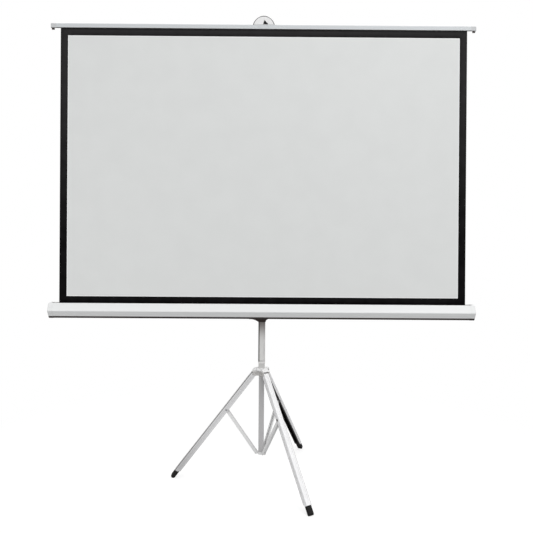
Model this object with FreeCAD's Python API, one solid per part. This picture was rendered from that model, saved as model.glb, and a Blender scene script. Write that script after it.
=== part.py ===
import FreeCAD, Part
import math
import os
from FreeCAD import Vector

# Portable projection screen on a folding tripod, in millimetres.
# +Z is up, the picture side faces -Y, and the origin is the mast's axis on the floor.
# Three channel legs stand open round a square post, the casing hangs in front of the
# mast, and a telescopic pole behind the cloth holds the top slat up.

os.makedirs("parts", exist_ok=True)

X_AXIS = Vector(1, 0, 0)
Y_AXIS = Vector(0, 1, 0)
Z_AXIS = Vector(0, 0, 1)
HALF_TURN = 180.0
overrun = 5.0                # how far a cutting tool passes the face that it cuts
touch_gap = 0.3              # free space between faces of pieces that pass or rest near each other
slide_gap = 0.15             # free space on each side of a sliding guide
pin_gap = 0.05               # free space round a pin or shaft that turns in its hole

# Picture cloth
picture_height = 1187.0
border_width = 33.5
cloth_thickness = 0.5
border_thickness = 0.15
cloth_into_slat = 7.0
border_hidden = 3.0          # part of the lower border that is still down in the slot
cloth_shift_x = 2.0

# Heights on the stand, measured up from the floor
hub_pivot_z = 498.0
brace_pivot_z = 121.0
casing_bottom_z = 762.0
casing_height = 69.0

# Tripod spread
leg_open_angle = 37.8
leg_directions = {"left": HALF_TURN, "front": -HALF_TURN / 3, "rear": HALF_TURN / 3}
hub_pivot_radius = 26.0
bracket_pivot_radius = 24.0
leg_brace_distance = 225.0   # hub pivot to brace pivot along a leg
leg_overall = 630.3          # hub pivot to floor along a leg
foot_visible = 36.0

# Leg channel
leg_width = 25.0
leg_depth = 25.0
leg_wall = 1.5
leg_open_edge = 8.0          # pivot line to the channel's open edge
leg_corner = 3.0
leg_web_setback = 11.0
leg_end_chamfer = 10.0
flute_width = 7.0
flute_depth = 0.6
flute_top_setback = 34.0
flute_end_setback = 20.0
side_flute_width = 5.0
foot_insert = 22.0
foot_side_gap = 1.2
foot_corner = 3.0
foot_flat_depth = 0.6         # how far the round end is worn flat where it stands

# Braces
brace_height = 14.5
brace_width = 13.0
brace_wall = 1.2
brace_corner = 1.6
brace_web_setback = 17.0

# Pins and rivets
pivot_pin_radius = 3.0
pin_head_radius = 5.0
pin_head_height = 2.2
rivet_shoulder_radius = 4.2

# Post, the lower tube
post_side = 25.4
post_wall = 1.5
post_corner = 4.0
post_bottom_z = 125.0
post_guide_height = 26.0
post_guide_flange = 3.0

# Brace bracket at the post's lower end
bracket_bottom_z = 112.0
bracket_spigot = 12.0
bracket_tongue_width = 9.8
bracket_tongue_radius = 6.5

# Tripod hub
hub_bottom_z = 484.0
hub_shoulder_z = 517.0
hub_neck_top_z = 541.0
hub_side = 32.0
hub_neck_side = 29.4
hub_cheek = 2.0
hub_reach = 43.0
hub_roof = 2.0
hub_root_radius = 10.0
hub_bend_radius_place = 24.0
hub_roof_end_drop = 11.0
hub_cheek_toe = 12.0
hub_crown_radius = 29.0
hub_crown_height = 10.0
hub_crown_edge = 4.0
hub_band_height = 8.0        # raised rim along the top of each arm
hub_band_proud = 2.0

# Carriage, the wider tube that carries the casing
carriage_side = 32.0
carriage_wall = 1.5
carriage_corner = 4.5
carriage_rise = 46.0          # the carriage tube runs this far up behind the casing
rim_height = 9.0
rim_side = 32.8
rim_insert = 30.0

# Telescopic pole
lower_pole_side = 19.0
upper_pole_side = 15.0
pole_wall = 1.2
lower_pole_corner = 3.0
upper_pole_corner = 2.5
pole_plug_height = 8.0
pole_end_room = 3.0          # room under a pole stage when the pole is down
clamp_height = 32.0
clamp_skirt = 16.0
clamp_sleeve = 12.0
clamp_wall = 2.6
upper_clamp_height = 28.0
upper_clamp_skirt = 14.0
stack_gap = 0.6              # between the stacked collars when the pole is down

# Casing
casing_length = 1942.0
cloth_end_room = 9.0         # between the cloth and the inner end of a casing cap
casing_depth = 74.0
casing_wall = 1.2
casing_center_y = -76.0
casing_top_front_share = 0.54    # shares of half the depth
casing_top_rear_share = 0.38
casing_bottom_share = 0.40
casing_corner = 4.0
slot_width = 7.0
slot_end_margin = 12.0
cap_length = 22.0
cap_proud = 0.7
cap_edge = 2.5
cap_spigot = 14.0
cap_spigot_wall = 2.0
bearing_boss_radius = 11.0
cloth_plane_from_center = -12.0
cap_screw_radius = 1.8
cap_screw_head = 3.4
cap_screw_length = 12.0
cap_screw_lift = 20.0

# Roller and spring motor
roller_radius = 19.0
roller_wall = 1.2
roll_thickness = 1.3
roller_end_gap = 3.0
roller_drop = 1.5            # below the middle of the casing
roller_plug_length = 30.0
idler_radius = 4.0
idler_length = 9.0
spring_shaft_radius = 4.0
spring_shaft_tail = 25.0     # the shaft goes this far past the anchor of the spring
spring_outer_radius = 13.0
spring_inner_radius = 9.0
spring_length = 430.0
spring_anchor_length = 14.0

# Top slat and hanger tab
slat_height = 21.0
slat_thickness = 9.0
slat_setback = 3.0           # between an end of the slat and that of the casing
slat_corner = 3.0
slat_cap_length = 24.0
slat_lip_drop = 8.0
slat_lip_length = 12.0
slat_lip_inset = 4.0
slat_lip_width = 4.5
lip_pocket_room = 1.0         # free space round a slat lip in its pocket when shut
slat_groove_width = 2.2
slat_rest_gap = 0.5
tab_width = 98.0
tab_height = 40.0
tab_wall = 2.0
tab_depth = 10.0
tab_rim = 3.0
tab_tail = 15.0
tab_tail_width = 60.0
tab_ledge = 1.2
tab_hole_left = 4.0
tab_hole_right = 21.0
tab_hole_peak = 3.0
tab_hole_lift = 1.4
tab_hole_height = 20.5
tab_hole_corner = 1.2
strap_width = 46.0
strap_thickness = 4.0
strap_room = 1.0             # between the strap and the hook below it
strap_end_room = 2.5         # between the strap and the hook's cap and lip
tab_rivet_spacing = 40.0
tab_rivet_radius = 2.0
tab_rivet_head = 3.6

# Pole hook
hook_cap_side = 21.0
hook_cap_height = 23.0
hook_peg_radius = 4.0
hook_peg_drop = 7.0
hook_peg_hold = 14.0
hook_peg_room = 3.0          # between the peg's end and the upright casing
hook_lip_width = 6.0
hook_lip_thickness = 3.0

# Case bracket, pivot and tilt lever
pivot_below_center = 22.0
case_bracket_side = 42.0
case_bracket_drop = 12.0      # below and above the casing's bottom
case_bracket_rise = 26.0
saddle_plate = 6.0
saddle_left = 56.0
saddle_right = 29.0
saddle_drop = 26.0
saddle_bend_rise_share = 0.66    # shares of the flank's rise and reach
saddle_bend_reach_share = 0.40
pivot_disc_radius = 20.0
pivot_disc_thickness = 8.0
pivot_stud_radius = 6.0
case_saddle_width = 120.0
case_saddle_rise = 12.0
saddle_screw_spacing = 90.0
saddle_screw_high = 6.0       # rows above and below the casing's middle
saddle_screw_low = -20.0
saddle_screw_head = 1.6
saddle_screw_bite = 3.0
lever_thickness = 4.0
lever_pivot_x = -27.0
lever_pivot_drop = 17.5
lever_tail = 31.0
lever_tail_width = 7.0
lever_pin_radius = 2.5

# Lock knobs
knob_radius = 14.0
knob_thickness = 12.0
knob_lobes = 6
knob_lobe_radius = 3.2
knob_neck_radius = 6.5
knob_neck_length = 7.0
knob_screw_radius = 3.0
boss_side = 18.0
boss_length = 7.0
height_knob_z = 592.0
small_knob_radius = 13.5

# Worked out from the sizes above
casing_top_z = casing_bottom_z + casing_height
casing_center_z = casing_bottom_z + casing_height / 2
roller_center_z = casing_center_z - roller_drop
carriage_top_z = casing_bottom_z + carriage_rise
case_bracket_bottom_z = casing_bottom_z - case_bracket_drop
case_bracket_top_z = casing_bottom_z + case_bracket_rise
saddle_bottom_z = casing_bottom_z - saddle_drop
casing_back_y = casing_center_y + casing_depth / 2
cloth_y = casing_center_y + cloth_plane_from_center
cloth_width = casing_length - 2 * (cap_length + cap_spigot + cloth_end_room)
slat_length = casing_length - 2 * slat_setback
slat_bottom_z = casing_top_z - border_hidden + picture_height + 2 * border_width
slat_top_z = slat_bottom_z + slat_height
wind_travel = slat_bottom_z - casing_top_z - cap_proud - slat_rest_gap
stage_travel = wind_travel / 2
pivot_z = casing_center_z - pivot_below_center
roll_radius = roller_radius + roll_thickness
roller_y = cloth_y + cloth_thickness / 2 + touch_gap + roll_radius
leg_outer_edge = leg_depth - leg_open_edge
leg_channel_length = leg_overall - foot_visible

leg_angle = math.radians(leg_open_angle)
joint_radius = hub_pivot_radius + leg_brace_distance * math.sin(leg_angle)
joint_z = hub_pivot_z - leg_brace_distance * math.cos(leg_angle)
brace_length = math.hypot(joint_radius - bracket_pivot_radius, joint_z - brace_pivot_z)
brace_open_angle = math.degrees(math.atan2(joint_radius - bracket_pivot_radius, joint_z - brace_pivot_z))
brace_shut_angle = math.degrees(math.asin((hub_pivot_radius - bracket_pivot_radius) / brace_length))
shut_height = leg_brace_distance + brace_length * math.cos(math.radians(brace_shut_angle))
fold_travel = shut_height - (hub_pivot_z - brace_pivot_z)

clamp_bottom_z = carriage_top_z - clamp_skirt
clamp_top_z = clamp_bottom_z + clamp_height
sleeve_bottom_z = carriage_top_z - clamp_skirt - clamp_sleeve
post_top_z = sleeve_bottom_z - touch_gap
upper_clamp_down_z = clamp_top_z + stack_gap
hook_down_z = upper_clamp_down_z + upper_clamp_height + stack_gap
hook_cap_bottom_z = hook_down_z + wind_travel
lower_pole_top_z = upper_clamp_down_z + upper_clamp_skirt + stage_travel
spigot_top_z = post_bottom_z + bracket_spigot
lower_pole_bottom_z = spigot_top_z + pole_end_room + stage_travel
upper_pole_top_z = hook_cap_bottom_z + hook_cap_height / 2
hook_cap_top_z = hook_cap_bottom_z + hook_cap_height
hook_peg_z = hook_cap_top_z - hook_peg_drop
hook_peg_end_y = casing_back_y + hook_peg_room
upper_pole_bottom_z = spigot_top_z + 2 * pole_end_room + pole_plug_height + wind_travel


def save(name, shape):
    shape.exportStep("parts/" + name + ".step")


def group(shapes):
    return Part.makeCompound(shapes)


def block(low, high):
    size = Vector(*high) - Vector(*low)
    return Part.makeBox(size.x, size.y, size.z, Vector(*low))


def rod(radius, start, end):
    start = Vector(*start)
    along = Vector(*end) - start
    return Part.makeCylinder(radius, along.Length, start, along)


def turned_to(shape, direction):
    shape.rotate(Vector(0, 0, 0), Z_AXIS, direction)
    return shape


def edges_along(shape, axis):
    chosen = []
    for edge in shape.Edges:
        if edge.Curve.TypeId != "Part::GeomLine":
            continue
        run = edge.Vertexes[1].Point - edge.Vertexes[0].Point
        if run.cross(axis).Length < run.Length / HALF_TURN:
            chosen.append(edge)
    return chosen


def square_bar(side, corner, low, high, depth=None):
    half = side / 2
    half_depth = (depth or side) / 2
    bar = block((-half, -half_depth, low), (half, half_depth, high))
    return bar.makeFillet(corner, edges_along(bar, Z_AXIS))


def square_tube(side, wall, corner, low, high):
    bore = square_bar(side - 2 * wall, corner - wall, low - overrun, high + overrun)
    return square_bar(side, corner, low, high).cut(bore)


def outline(points, corner):
    # A closed polygon with every corner rounded by a tangent arc.
    count = len(points)
    edges = []
    stops = []
    for i in range(count):
        here = points[i]
        back = (points[i - 1] - here).normalize()
        ahead = (points[(i + 1) % count] - here).normalize()
        half = back.getAngle(ahead) / 2
        setback = corner / math.tan(half)
        center = here + (back + ahead).normalize() * (corner / math.sin(half))
        middle = center + (here - center).normalize() * corner
        stops.append((here + back * setback, middle, here + ahead * setback))
    for i in range(count):
        start, middle, end = stops[i]
        edges.append(Part.Arc(start, middle, end).toShape())
        edges.append(Part.makeLine(end, stops[(i + 1) % count][0]))
    return Part.Face(Part.Wire(edges))


def casing_outline(grow, x):
    half = casing_depth / 2 + grow
    low = casing_bottom_z - grow
    high = casing_top_z + grow
    shares = [
        (-casing_top_front_share, high),
        (-1, casing_center_z),
        (-casing_bottom_share, low),
        (casing_bottom_share, low),
        (1, casing_center_z),
        (casing_top_rear_share, high),
    ]
    points = [Vector(x, casing_center_y + share * half, z) for share, z in shares]
    return outline(points, casing_corner + grow)


def casing_prism(grow, start_x, end_x):
    low = min(start_x, end_x)
    return casing_outline(grow, low).extrude(Vector(abs(end_x - start_x), 0, 0))


def lengthways_groove(width, depth, low, high, face_x, center_y):
    # A flute with round ends, cut into the face of constant X, from outside.
    half = width / 2
    straight = block((face_x - depth, center_y - half, low), (face_x + overrun, center_y + half, high))
    ends = [rod(half, (face_x - depth, center_y, z), (face_x + overrun, center_y, z)) for z in (low, high)]
    return straight.multiFuse(ends)


def leg_shape():
    # Built upright at the pivot, open side towards the post (-X), then swung out.
    half = leg_width / 2
    lowest = -leg_channel_length
    top_arc = Part.Arc(Vector(-leg_open_edge, -half, 0), Vector(0, -half, leg_open_edge),
                       Vector(leg_open_edge, -half, 0)).toShape()
    corners = [
        Vector(leg_open_edge, -half, 0),
        Vector(leg_outer_edge, -half, -leg_web_setback),
        Vector(leg_outer_edge, -half, lowest),
        Vector(leg_outer_edge - leg_depth / 2, -half, lowest),
        Vector(-leg_open_edge, -half, lowest + leg_end_chamfer),
        Vector(-leg_open_edge, -half, 0),
    ]
    sides = [Part.makeLine(corners[i], corners[i + 1]) for i in range(len(corners) - 1)]
    leg = Part.Face(Part.Wire([top_arc] + sides)).extrude(Vector(0, leg_width, 0))
    web_edges = []
    for edge in edges_along(leg, Z_AXIS):
        if edge.Vertexes[0].X > leg_open_edge:
            web_edges.append(edge)
    leg = leg.makeFillet(leg_corner, web_edges)
    inner = half - leg_wall
    hollow = block((-leg_open_edge - overrun, -inner, lowest - overrun),
                   (leg_outer_edge - leg_wall, inner, leg_open_edge + overrun))
    inside_edges = [e for e in edges_along(hollow, Z_AXIS) if e.Vertexes[0].X > 0]
    leg = leg.cut(hollow.makeFillet(leg_corner - leg_wall, inside_edges))
    low = lowest + flute_end_setback
    leg = leg.cut(lengthways_groove(flute_width, flute_depth, low, -flute_top_setback, leg_outer_edge, 0))
    side_center = leg_outer_edge - leg_depth / 2
    for turn in (-1, 1):
        groove = lengthways_groove(side_flute_width, flute_depth, low, -flute_top_setback, half, 0)
        groove.rotate(Vector(0, 0, 0), Z_AXIS, turn * HALF_TURN / 2)
        groove.translate(Vector(side_center, 0, 0))
        leg = leg.cut(groove)
    for z in (0, -leg_brace_distance):
        leg = leg.cut(rod(pivot_pin_radius + pin_gap, (0, -leg_width, z), (0, leg_width, z)))
    return leg


def foot_shape():
    half = leg_width / 2 - leg_wall
    near = -leg_open_edge + leg_wall + foot_side_gap
    far = leg_outer_edge - leg_wall
    middle = (near + far) / 2
    radius = (far - near) / 2
    rise = hub_pivot_z + middle * math.sin(leg_angle) + foot_flat_depth - radius
    center_z = -rise / math.cos(leg_angle)
    high = -leg_channel_length + foot_insert
    rubber = block((near, -half, center_z - radius), (far, half, high))
    rubber = rubber.makeFillet(foot_corner, edges_along(rubber, Z_AXIS))
    # The end is round across the leg, so it stands on rubber at any spread.
    straight = block((near, -half, center_z), (far, half, high))
    end = rod(radius, (middle, -half, center_z), (middle, half, center_z))
    return rubber.common(straight.fuse(end)).removeSplitter()


def leg_rivet_shapes():
    # Two shouldered rivets in the leg's side walls, one each side of the brace's end.
    outer = leg_width / 2
    inner = brace_width / 2 + touch_gap
    rivets = []
    for side in (-1, 1):
        z = -leg_brace_distance
        shank = rod(pivot_pin_radius, (0, side * inner, z), (0, side * outer, z))
        shoulder = rod(rivet_shoulder_radius, (0, side * inner, z), (0, side * (outer - leg_wall), z))
        head = rod(pin_head_radius, (0, side * outer, z), (0, side * (outer + pin_head_height / 2), z))
        rivets.append(shank.multiFuse([shoulder, head]).removeSplitter())
    return rivets


def swing_out(shape):
    shape.rotate(Vector(0, 0, 0), Y_AXIS, -leg_open_angle)
    shape.translate(Vector(hub_pivot_radius, 0, hub_pivot_z))
    return shape


def make_legs():
    reach = 2 * leg_overall
    underground = block((-reach, -reach, -reach), (reach, reach, 0))
    for name, direction in leg_directions.items():
        save("leg_" + name, turned_to(swing_out(leg_shape()), direction))
        foot = swing_out(foot_shape()).cut(underground)
        save("foot_" + name, turned_to(foot, direction))
        rivets = [turned_to(swing_out(rivet), direction) for rivet in leg_rivet_shapes()]
        save("brace_rivets_" + name, group(rivets))


def brace_shape():
    half = brace_height / 2
    side = brace_width / 2
    bar = block((-half, -side, 0), (half, side, brace_length))
    web_edges = [e for e in edges_along(bar, Z_AXIS) if e.Vertexes[0].X > 0]
    bar = bar.makeFillet(brace_corner, web_edges)
    ends = [rod(half, (0, -side, z), (0, side, z)) for z in (0, brace_length)]
    bar = bar.multiFuse(ends)
    inner = side - brace_wall
    bar = bar.cut(block((-half - overrun, -inner, -half - overrun),
                        (half - brace_wall, inner, brace_length + half + overrun)))
    # The web stops short of both pivots, so that only the two cheeks go round the pins.
    for low, high in ((-half - overrun, brace_web_setback),
                      (brace_length - brace_web_setback, brace_length + half + overrun)):
        bar = bar.cut(block((half - brace_wall - overrun, -inner, low), (half + overrun, inner, high)))
    for z in (0, brace_length):
        bar = bar.cut(rod(pivot_pin_radius + pin_gap, (0, -side - overrun, z), (0, side + overrun, z)))
    return bar


def brace_barrel_shape():
    side = brace_width / 2
    inner = side - brace_wall
    pin = rod(pivot_pin_radius, (0, -side, brace_length), (0, side, brace_length))
    return pin.fuse(rod(rivet_shoulder_radius, (0, -inner, brace_length), (0, inner, brace_length)))


def swing_up(shape):
    shape.rotate(Vector(0, 0, 0), Y_AXIS, brace_open_angle)
    shape.translate(Vector(bracket_pivot_radius, 0, brace_pivot_z))
    return shape


def make_braces():
    for name, direction in leg_directions.items():
        save("brace_" + name, turned_to(swing_up(brace_shape()), direction))
        save("brace_barrel_" + name, turned_to(swing_up(brace_barrel_shape()), direction))


def make_post():
    flange_low = post_top_z - post_guide_flange
    save("post_tube", square_tube(post_side, post_wall, post_corner, post_bottom_z, flange_low))
    bore = post_side - 2 * post_wall
    guide_side = carriage_side - 2 * carriage_wall - 2 * slide_gap
    flange = square_bar(guide_side, carriage_corner - carriage_wall, flange_low, post_top_z)
    spigot = square_bar(bore, post_corner - post_wall, post_top_z - post_guide_height, flange_low)
    way = square_bar(lower_pole_side + 2 * touch_gap, lower_pole_corner,
                     post_top_z - post_guide_height - overrun, post_top_z + overrun)
    save("post_top_guide", flange.fuse(spigot).cut(way))


def make_brace_bracket():
    body = square_bar(post_side, post_corner, bracket_bottom_z, post_bottom_z)
    bore = post_side - 2 * post_wall
    body = body.fuse(square_bar(bore, post_corner - post_wall, post_bottom_z, spigot_top_z))
    half = bracket_tongue_width / 2
    for direction in leg_directions.values():
        web = block((0, -half, brace_pivot_z - bracket_tongue_radius),
                    (bracket_pivot_radius, half, post_bottom_z))
        eye = rod(bracket_tongue_radius, (bracket_pivot_radius, -half, brace_pivot_z),
                  (bracket_pivot_radius, half, brace_pivot_z))
        tongue = web.fuse(eye)
        body = body.fuse(turned_to(tongue, direction))
    pins = []
    for direction in leg_directions.values():
        hole = rod(pivot_pin_radius, (bracket_pivot_radius, -leg_width, brace_pivot_z),
                   (bracket_pivot_radius, leg_width, brace_pivot_z))
        body = body.cut(turned_to(hole, direction))
        pins.append(turned_to(pin_shape(bracket_pivot_radius, brace_pivot_z, brace_width / 2), direction))
    save("brace_bracket", body)
    save("brace_pivot_pins", group(pins))


def pin_shape(radius, z, half_grip):
    # A headed pin across the radial direction, just longer than what it holds.
    reach = half_grip + touch_gap
    shank = rod(pivot_pin_radius, (radius, -reach, z), (radius, reach, z))
    heads = []
    for side in (-1, 1):
        top = reach + pin_head_height / 2
        heads.append(rod(pin_head_radius, (radius, side * reach, z), (radius, side * top, z)))
    return shank.multiFuse(heads)


def hood_profile(inset, y):
    # Side view of one arm of the hub: flat by the post, arched down over the leg's end.
    top = hub_shoulder_z - inset
    end = hub_reach + (overrun if inset else 0)
    end_z = top - hub_roof_end_drop
    root = hub_root_radius if not inset else hub_pivot_radius - leg_open_edge - touch_gap
    toe = hub_pivot_z - hub_cheek_toe if not inset else hub_bottom_z - overrun
    low = hub_bottom_z if not inset else hub_bottom_z - overrun
    bend = hub_bend_radius_place
    middle_r = (bend + hub_reach) / 2 + (hub_reach - bend) / 8
    middle_z = top - hub_roof_end_drop / 3
    points = [
        Vector(root, y, low),
        Vector(root, y, top),
        Vector(bend, y, top),
    ]
    arc = Part.Arc(points[2], Vector(middle_r, y, middle_z), Vector(hub_reach, y, end_z)).toShape()
    tail = [Vector(hub_reach, y, end_z)]
    if inset:
        tail.append(Vector(end, y, end_z - inset))
    tail += [Vector(end, y, toe + hub_roof), Vector(hub_pivot_radius + pin_head_radius, y, toe - hub_roof),
             Vector(root, y, low)]
    edges = [Part.makeLine(points[0], points[1]), Part.makeLine(points[1], points[2]), arc]
    for i in range(len(tail) - 1):
        edges.append(Part.makeLine(tail[i], tail[i + 1]))
    return Part.Face(Part.Wire(edges))


def hub_crown():
    # A round cap over the middle of the arms, with a rolled upper edge.
    crown = rod(hub_crown_radius, (0, 0, hub_shoulder_z - hub_crown_height), (0, 0, hub_shoulder_z))
    rim = [e for e in crown.Edges if e.BoundBox.ZMin > hub_shoulder_z - pin_gap]
    return crown.makeFillet(hub_crown_edge, rim)


def hub_band(outer_half):
    # The raised rim follows the arch of the arm and stands out on both cheeks.
    half = outer_half + hub_band_proud
    band = hood_profile(0, -half).extrude(Vector(0, 2 * half, 0))
    below = hood_profile(hub_band_height, -half - overrun).extrude(Vector(0, 2 * (half + overrun), 0))
    root = block((-overrun, -half - overrun, hub_bottom_z - overrun),
                 (hub_pivot_radius, half + overrun, hub_shoulder_z - hub_band_height))
    return band.cut(below.fuse(root))


def make_hub():
    cavity_half = leg_width / 2 + touch_gap
    outer_half = cavity_half + hub_cheek
    hub = square_bar(hub_side, carriage_corner, hub_bottom_z, hub_shoulder_z).fuse(hub_crown())
    hub = hub.fuse(square_bar(hub_neck_side, post_corner, hub_shoulder_z, hub_neck_top_z))
    for direction in leg_directions.values():
        hood = hood_profile(0, -outer_half).extrude(Vector(0, 2 * outer_half, 0))
        hub = hub.fuse(turned_to(hood, direction))
        hub = hub.fuse(turned_to(hub_band(outer_half), direction))
    pins = []
    for direction in leg_directions.values():
        cavity = hood_profile(hub_roof, -cavity_half).extrude(Vector(0, 2 * cavity_half, 0))
        hub = hub.cut(turned_to(cavity, direction))
    for direction in leg_directions.values():
        hole = rod(pivot_pin_radius, (hub_pivot_radius, -leg_width, hub_pivot_z),
                   (hub_pivot_radius, leg_width, hub_pivot_z))
        hub = hub.cut(turned_to(hole, direction))
        pins.append(turned_to(pin_shape(hub_pivot_radius, hub_pivot_z, outer_half), direction))
    bore = square_bar(post_side + 2 * slide_gap, post_corner, hub_bottom_z - overrun,
                      hub_neck_top_z + overrun)
    save("tripod_hub", hub.cut(bore).removeSplitter())
    save("leg_pivot_pins", group(pins))


def knob_shape(radius, screw_tip, base, thickness):
    # Built along +Y: screw tip, neck and a lobed grip.
    neck_end = base + knob_neck_length
    grip = rod(radius, (0, neck_end, 0), (0, neck_end + thickness, 0))
    for i in range(knob_lobes):
        angle = math.radians(2 * HALF_TURN * i / knob_lobes)
        x = radius * math.cos(angle)
        z = radius * math.sin(angle)
        scallop = rod(knob_lobe_radius, (x, neck_end - overrun, z), (x, neck_end + thickness + overrun, z))
        grip = grip.cut(scallop)
    neck = rod(knob_neck_radius, (0, base, 0), (0, neck_end, 0))
    screw = rod(knob_screw_radius, (0, screw_tip, 0), (0, base, 0))
    return grip.multiFuse([neck, screw])


def rear_boss(inner_y, outer_y, z):
    half = boss_side / 2
    boss = block((-half, inner_y, z - half), (half, outer_y, z + half))
    hole = rod(knob_screw_radius + pin_gap, (0, inner_y - overrun, z), (0, outer_y + overrun, z))
    return boss.makeFillet(pin_head_height, edges_along(boss, Y_AXIS)).cut(hole)


def make_carriage():
    half = carriage_side / 2
    tube_bottom_z = hub_neck_top_z + rim_height
    tube = square_tube(carriage_side, carriage_wall, carriage_corner, tube_bottom_z, carriage_top_z)
    screw_hole = rod(knob_screw_radius + pin_gap, (0, 0, height_knob_z), (0, carriage_side, height_knob_z))
    save("carriage_tube", tube.cut(screw_hole))

    rim = square_bar(rim_side, carriage_corner, hub_neck_top_z + touch_gap / 2, tube_bottom_z)
    insert = square_bar(carriage_side - 2 * carriage_wall, carriage_corner - carriage_wall, tube_bottom_z,
                        tube_bottom_z + rim_insert)
    way = square_bar(post_side + 2 * slide_gap, post_corner, hub_neck_top_z - overrun,
                     tube_bottom_z + rim_insert + overrun)
    save("carriage_rim", rim.fuse(insert).cut(way))

    save("height_knob_boss", rear_boss(half, half + boss_length, height_knob_z))
    knob = knob_shape(small_knob_radius, post_side / 2 + touch_gap, half + boss_length + touch_gap,
                      knob_thickness)
    knob.translate(Vector(0, 0, height_knob_z))
    save("height_knob", knob)


def make_pole_clamp(name, tube_side, pole_side, corner, low, height, skirt, sleeve):
    # A collar on a tube's top end that grips the next stage with a screw from the rear.
    outer = tube_side + 2 * clamp_wall
    collar = square_bar(outer, corner + clamp_wall, low, low + height)
    pocket = square_bar(tube_side, corner, low - overrun, low + skirt)
    collar = collar.cut(pocket)
    if sleeve:
        inner = tube_side - 2 * carriage_wall
        collar = collar.fuse(square_bar(inner, corner - carriage_wall, low - sleeve, low + skirt))
    way = square_bar(pole_side + 2 * slide_gap, corner - carriage_wall, low - sleeve - overrun,
                     low + height + overrun)
    collar = collar.cut(way)
    screw_z = low + skirt + (height - skirt) / 2
    ear_half = (height - skirt) / 2
    ear_low = outer / 2 - clamp_wall / 2
    ear_high = outer / 2 + boss_length
    ear = block((-boss_side / 2, ear_low, screw_z - ear_half),
                (boss_side / 2, ear_high, screw_z + ear_half))
    collar = collar.fuse(ear.makeFillet(pin_head_height, edges_along(ear, Y_AXIS)))
    collar = collar.cut(rod(knob_screw_radius + pin_gap, (0, 0, screw_z), (0, ear_high + overrun, screw_z)))
    save(name + "_clamp", collar.removeSplitter())
    knob = knob_shape(knob_radius, pole_side / 2 + touch_gap, ear_high + touch_gap, knob_thickness)
    knob.translate(Vector(0, 0, screw_z))
    save(name + "_knob", knob)


def make_pole():
    make_pole_clamp("lower_pole", carriage_side, lower_pole_side, carriage_corner, clamp_bottom_z,
                    clamp_height, clamp_skirt, clamp_sleeve)
    tube = square_tube(lower_pole_side, pole_wall, lower_pole_corner, lower_pole_bottom_z, lower_pole_top_z)
    save("lower_pole_tube", tube)
    bore = lower_pole_side - 2 * pole_wall
    save("lower_pole_plug", square_bar(bore, lower_pole_corner - pole_wall, lower_pole_bottom_z,
                                       lower_pole_bottom_z + pole_plug_height))
    make_pole_clamp("upper_pole", lower_pole_side, upper_pole_side, lower_pole_corner,
                    lower_pole_top_z - upper_clamp_skirt, upper_clamp_height, upper_clamp_skirt, 0)
    tube = square_tube(upper_pole_side, pole_wall, upper_pole_corner, upper_pole_bottom_z, upper_pole_top_z)
    save("upper_pole_tube", tube)
    bore = upper_pole_side - 2 * pole_wall
    save("upper_pole_plug", square_bar(bore, upper_pole_corner - pole_wall, upper_pole_bottom_z,
                                       upper_pole_bottom_z + pole_plug_height))


def make_hook():
    cap = square_bar(hook_cap_side, lower_pole_corner, hook_cap_bottom_z, hook_cap_top_z)
    pocket = square_bar(upper_pole_side, upper_pole_corner, hook_cap_bottom_z - overrun, upper_pole_top_z)
    peg_start_y = hook_peg_hold - hook_cap_side / 2
    peg = rod(hook_peg_radius, (0, peg_start_y, hook_peg_z), (0, hook_peg_end_y, hook_peg_z))
    lip = block((-hook_lip_width / 2, hook_peg_end_y, hook_peg_z),
                (hook_lip_width / 2, hook_peg_end_y + hook_lip_thickness, hook_cap_top_z))
    save("pole_hook", cap.cut(pocket).cut(peg))
    save("hook_peg", peg.fuse(lip).removeSplitter())


def tab_dome(inset, y):
    # Front view of the hanger tab: a low dome standing on the slat's top edge.
    half = tab_width / 2 - inset
    low = slat_top_z
    top = slat_top_z + tab_height - inset
    start = Vector(-half, y, low)
    shoulder = Vector(-half * 2 / 3, y, low + (top - low) * 2 / 3)
    crown = Vector(0, y, top)
    right = Vector(half * 2 / 3, y, low + (top - low) * 2 / 3)
    end = Vector(half, y, low)
    curve = Part.BSplineCurve()
    curve.interpolate([start, shoulder, crown, right, end])
    return Part.Face(Part.Wire([curve.toShape(), Part.makeLine(end, start)]))


def lip_ends(side):
    far = side * (slat_length / 2 - slat_lip_inset)
    return far, far - side * slat_lip_length


def make_slat():
    half = slat_length / 2 - slat_cap_length
    slat = block((-half, cloth_y - slat_thickness / 2, slat_bottom_z),
                 (half, cloth_y + slat_thickness / 2, slat_top_z))
    slat = slat.makeFillet(slat_corner, edges_along(slat, X_AXIS))
    groove_top = slat_bottom_z + cloth_into_slat + touch_gap
    groove = block((-half - overrun, cloth_y - slat_groove_width / 2, slat_bottom_z - overrun),
                   (half + overrun, cloth_y + slat_groove_width / 2, groove_top))
    slat = slat.cut(groove)
    for side in (-1, 1):
        x = side * tab_rivet_spacing / 2
        z = slat_top_z - tab_tail / 2
        hole = rod(tab_rivet_radius, (x, cloth_y - slat_thickness, z), (x, cloth_y + slat_thickness, z))
        slat = slat.cut(hole)
    save("top_slat", slat)
    for name, side in (("left", -1), ("right", 1)):
        near = side * half
        far = side * slat_length / 2
        cap = block((min(near, far), cloth_y - slat_thickness / 2, slat_bottom_z),
                    (max(near, far), cloth_y + slat_thickness / 2, slat_top_z))
        cap = cap.makeFillet(slat_corner, edges_along(cap, X_AXIS))
        lip_far, lip_near = lip_ends(side)
        lip = block((min(lip_far, lip_near), cloth_y - slat_lip_width / 2, slat_bottom_z - slat_lip_drop),
                    (max(lip_far, lip_near), cloth_y + slat_lip_width / 2, slat_bottom_z + slat_corner))
        save("slat_cap_" + name, cap.fuse(lip).removeSplitter())


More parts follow.
